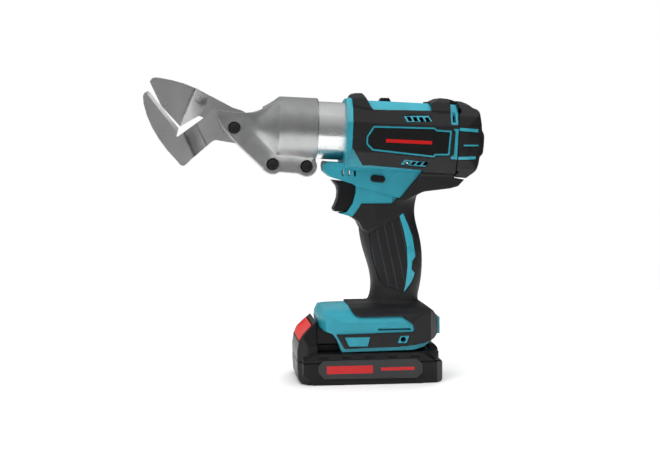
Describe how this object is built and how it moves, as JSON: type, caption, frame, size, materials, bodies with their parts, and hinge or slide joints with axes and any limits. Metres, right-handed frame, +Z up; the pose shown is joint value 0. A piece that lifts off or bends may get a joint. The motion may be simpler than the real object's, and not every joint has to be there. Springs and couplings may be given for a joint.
{
  "type": "cordless sheet metal shear",
  "caption": "Pistol-grip cordless tool with a battery foot and a scissor head: one fixed and one swinging offset blade cut roofing and siding sheet.",
  "frame": {"origin": "centre of the battery's flat underside, the face the tool stands on", "axes": "+Z up; -X towards the blades; the barrel axis leans 3 degrees, nose up; -Y is the tool's left side"},
  "size_m": [0.2618, 0.0756, 0.2342],
  "materials": {
    "teal_housing": "moulded glass-filled nylon, fine spark texture, satin",
    "black_overmould": "soft moulded elastomer, fine matt texture",
    "plate_gloss": "smooth glossy plate",
    "grip_rubber": "ribbed soft grip",
    "teal_accent": "bright teal inlay",
    "black_plastic": "moulded black plastic, satin",
    "button_red": "moulded red button",
    "battery_black": "moulded battery case, fine texture",
    "label_grey": "printed label film",
    "tube_aluminium": "turned, bright",
    "head_casting": "die cast, shot blasted",
    "blade_steel": "ground tool steel",
    "steel": "machined steel",
    "black_steel": "blackened screw steel",
    "bearing_steel": "polished bearing steel",
    "gear_steel": "sintered gear steel",
    "lamination": "stacked laminations",
    "copper": "enamelled copper wire",
    "contact_brass": "plated brass blades",
    "magnet": "sintered ferrite",
    "carbon": "carbon brush",
    "lens": "clear lens",
    "cell_wrap": "shrink wrapped cells",
    "circuit_board": "solder mask",
    "wire_jacket": "wire insulation"
  },
  "bodies": {
    "body": {"housing_left": "teal_housing", "housing_right": "teal_housing", "overmould_left": "black_overmould", "overmould_right": "black_overmould", "name_plates": "plate_gloss", "grip_inserts": "grip_rubber", "grip_accents": "teal_accent", "rear_cap": "black_plastic", "rear_cap_trim": "teal_accent", "housing_screws": "steel", "gearcase": "tube_aluminium", "ring_gear": "gear_steel", "motor_plate": "tube_aluminium", "motor_can": "steel", "motor_magnets": "magnet", "motor_end_bell": "black_plastic", "motor_brushes": "carbon", "spindle_bearings": "bearing_steel", "switch_body": "black_plastic", "led_lens": "lens", "terminal_block": "black_plastic", "tool_contacts": "contact_brass", "lead_wires": "wire_jacket", "trigger_spring": "steel"},
    "rotor": {"motor_shaft": "steel", "armature_core": "lamination", "armature_windings": "copper", "commutator": "contact_brass", "cooling_fan": "black_plastic", "pinion": "gear_steel"},
    "planet_1": {"planet_gear_1": "gear_steel"},
    "planet_2": {"planet_gear_2": "gear_steel"},
    "planet_3": {"planet_gear_3": "gear_steel"},
    "carrier": {"planet_carrier": "steel", "planet_pins": "steel", "coupling_sleeve": "steel"},
    "head": {"head_shell_left": "head_casting", "head_shell_right": "head_casting", "clamp_screws": "black_steel", "pivot_screw": "black_steel", "head_nuts": "black_steel", "pivot_bush": "contact_brass", "pivot_washer": "steel", "lower_blade": "blade_steel", "crank_bearing": "bearing_steel"},
    "crank": {"crankshaft": "steel", "eccentric_bearing": "bearing_steel"},
    "moving_blade": {"upper_blade": "blade_steel"},
    "trigger": {"trigger": "black_plastic"},
    "direction": {"direction_button": "black_plastic"},
    "slider": {"speed_slider": "black_plastic"},
    "battery": {"battery_lower_case": "battery_black", "battery_upper_case": "battery_black", "battery_labels": "label_grey", "battery_cells": "cell_wrap", "battery_board": "circuit_board", "battery_contacts": "contact_brass", "battery_screws": "steel"},
    "release": {"release_button": "button_red"}
  },
  "joints": [
    {"name": "motor_spin", "type": "hinge", "parent": "body", "child": "rotor", "pos_m": [0.03992, 0, 0.18936], "axis": [0.9986, 0, -0.0523], "range_deg": [0, 1080]},
    {"name": "carrier_spin", "type": "hinge", "parent": "body", "child": "carrier", "pos_m": [-0.01001, 0, 0.19198], "axis": [0.9986, 0, -0.0523], "range_deg": [0, 180]},
    {"name": "planet_1_spin", "type": "hinge", "parent": "carrier", "child": "planet_1", "pos_m": [-0.00003, 0.0108, 0.19145], "axis": [0.9986, 0, -0.0523], "range_deg": [-450, 0]},
    {"name": "planet_2_spin", "type": "hinge", "parent": "carrier", "child": "planet_2", "pos_m": [0.00046, -0.0054, 0.20079], "axis": [0.9986, 0, -0.0523], "range_deg": [-450, 0]},
    {"name": "planet_3_spin", "type": "hinge", "parent": "carrier", "child": "planet_3", "pos_m": [-0.00052, -0.0054, 0.18211], "axis": [0.9986, 0, -0.0523], "range_deg": [-450, 0]},
    {"name": "head_swivel", "type": "hinge", "parent": "body", "child": "head", "pos_m": [-0.05495, 0, 0.19433], "axis": [0.9986, 0, -0.0523], "continuous": true},
    {"name": "crank_spin", "type": "hinge", "parent": "head", "child": "crank", "pos_m": [-0.06793, 0, 0.19501], "axis": [0.9986, 0, -0.0523], "range_deg": [0, 180]},
    {"name": "blade_swing", "type": "hinge", "parent": "head", "child": "moving_blade", "pos_m": [-0.10364, 0, 0.19588], "axis": [0, -1, 0], "range_deg": [0, 6.98]},
    {"name": "trigger_pull", "type": "slide", "parent": "body", "child": "trigger", "axis": [1, 0, 0], "range_m": [0, 0.0065], "stiffness_N_per_m": 1200, "springref_m": -0.004, "deforming": ["trigger_spring"]},
    {"name": "direction_slide", "type": "slide", "parent": "body", "child": "direction", "axis": [0, 1, 0], "range_m": [-0.0025, 0.0025]},
    {"name": "speed_shift", "type": "slide", "parent": "body", "child": "slider", "axis": [0.9986, 0, -0.0523], "range_m": [0, 0.011]},
    {"name": "battery_slide", "type": "slide", "parent": "body", "child": "battery", "axis": [-1, 0, 0], "range_m": [0, 0.09]},
    {"name": "release_press", "type": "slide", "parent": "battery", "child": "release", "axis": [0.6, 0, -0.8], "range_m": [0, 0.0024], "stiffness_N_per_m": 2500, "springref_m": -0.002}
  ],
  "couplings": [
    {"joint": "carrier_spin", "follows": "motor_spin", "ratio": 0.16667},
    {"joint": "planet_1_spin", "follows": "motor_spin", "ratio": -0.41667},
    {"joint": "planet_2_spin", "follows": "motor_spin", "ratio": -0.41667},
    {"joint": "planet_3_spin", "follows": "motor_spin", "ratio": -0.41667},
    {"joint": "crank_spin", "follows": "motor_spin", "ratio": 0.16667},
    {"joint": "blade_swing", "follows": "motor_spin", "ratio": 0.006462}
  ]
}
